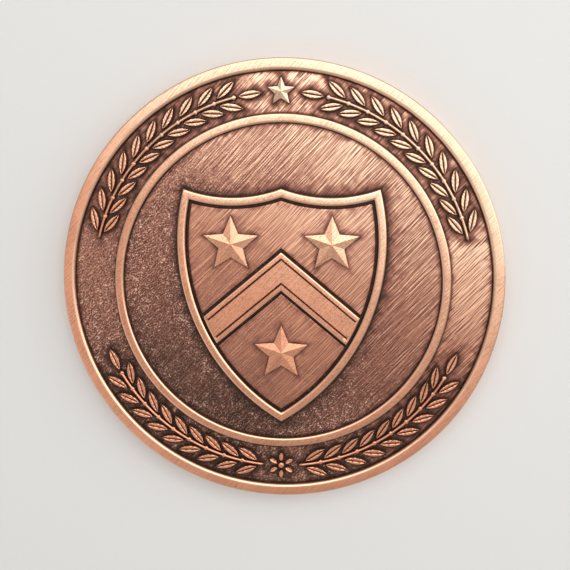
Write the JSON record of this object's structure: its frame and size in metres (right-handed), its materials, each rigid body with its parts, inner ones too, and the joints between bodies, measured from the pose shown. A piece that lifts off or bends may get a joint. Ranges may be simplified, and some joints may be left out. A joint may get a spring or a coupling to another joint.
{
  "type": "challenge coin",
  "caption": "Round copper challenge coin with a raised rim, an inner ring, laurel garlands in the band and a raised shield with a chevron and stars; plain reverse.",
  "frame": {"origin": "centre of the reverse rim's resting face, under the middle of the coin", "axes": "+Z out of the obverse, through the thickness; +Y towards the top of the design; +X to its right"},
  "size_m": [0.0444, 0.0444, 0.003],
  "materials": {
    "field_copper": "dark antique copper patina with a fine grain, rubbed back to brushed copper on the open field",
    "rim_copper": "satin antique copper",
    "relief_copper": "satin antique copper, dark in the grooves",
    "panel_copper": "antique copper with slanting brush lines"
  },
  "bodies": {
    "root": {"planchet": "field_copper", "rim": "rim_copper", "inner_ring": "rim_copper", "upper_leaves": "relief_copper", "upper_stem": "relief_copper", "lower_leaves": "relief_copper", "lower_stem": "relief_copper", "crown_star": "relief_copper", "rosette": "relief_copper", "shield_border": "relief_copper", "upper_panel": "panel_copper", "lower_panel": "panel_copper", "chevron": "relief_copper", "shield_stars": "relief_copper"}
  },
  "joints": []
}
